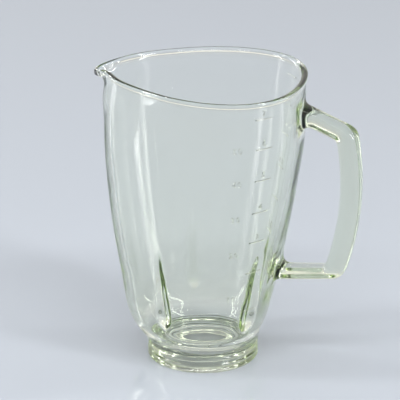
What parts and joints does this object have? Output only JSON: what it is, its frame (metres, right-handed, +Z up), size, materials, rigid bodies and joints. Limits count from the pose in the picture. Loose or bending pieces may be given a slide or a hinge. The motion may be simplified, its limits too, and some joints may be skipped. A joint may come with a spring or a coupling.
{
  "type": "food processor jar",
  "caption": "Clear pressed-glass jug with a round ringed neck open at the bottom, a flaring body with stirring ribs inside, a rolled rim drawn to a pouring spout, and a solid bar handle.",
  "frame": {"origin": "centre of the neck's bottom opening, at the plane the foot stands on", "axes": "+Z up along the neck's axis, +X towards the handle, -X towards the spout"},
  "size_m": [0.1947, 0.1252, 0.213],
  "materials": {
    "clear_glass": "clear pressed glass, polished, faintly green where it is thick"
  },
  "bodies": {
    "root": {"glass_jar": "clear_glass"}
  },
  "joints": []
}
